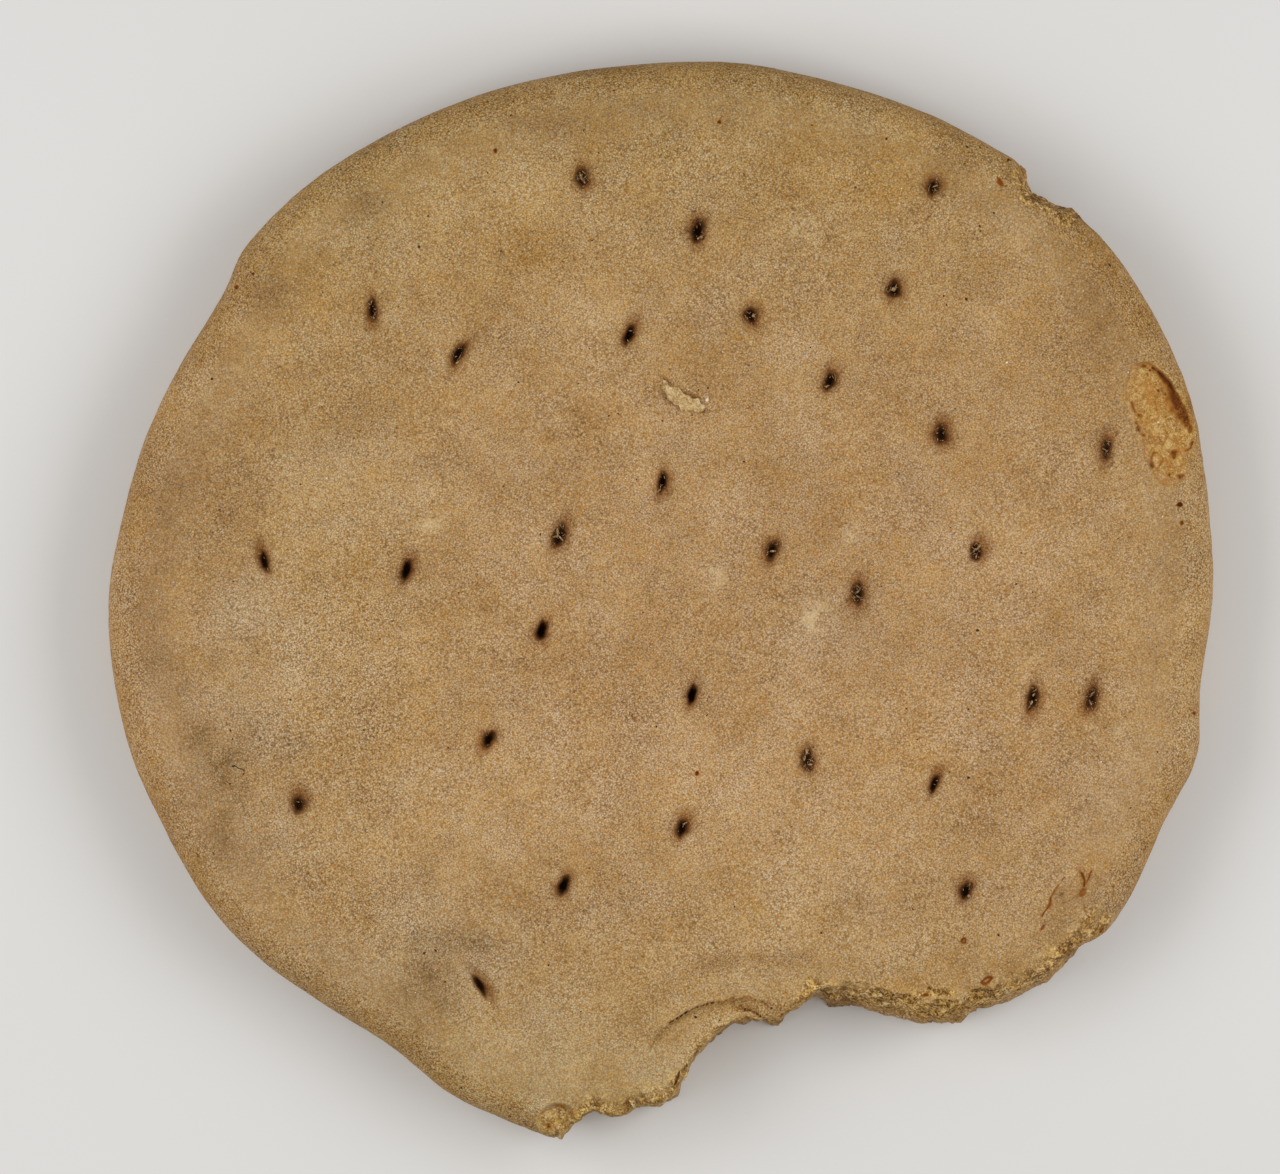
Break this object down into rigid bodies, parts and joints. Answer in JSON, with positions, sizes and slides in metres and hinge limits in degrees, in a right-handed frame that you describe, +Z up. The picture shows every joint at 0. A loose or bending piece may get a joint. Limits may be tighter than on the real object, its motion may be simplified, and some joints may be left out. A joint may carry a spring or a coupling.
{
  "type": "hardtack biscuit",
  "caption": "Round hand-moulded hardtack biscuit of hard-baked dough, flat below, pricked all over its face with docker holes, bitten and broken along one edge.",
  "frame": {"origin": "on the surface it lies on, under the middle of its outline", "axes": "+Z up out of the pricked face, -Y towards the broken edge, +X to the right of someone facing +Y"},
  "size_m": [0.1, 0.0976, 0.0114],
  "materials": {
    "crust": null
  },
  "bodies": {
    "root": {"biscuit": "crust"}
  },
  "joints": []
}
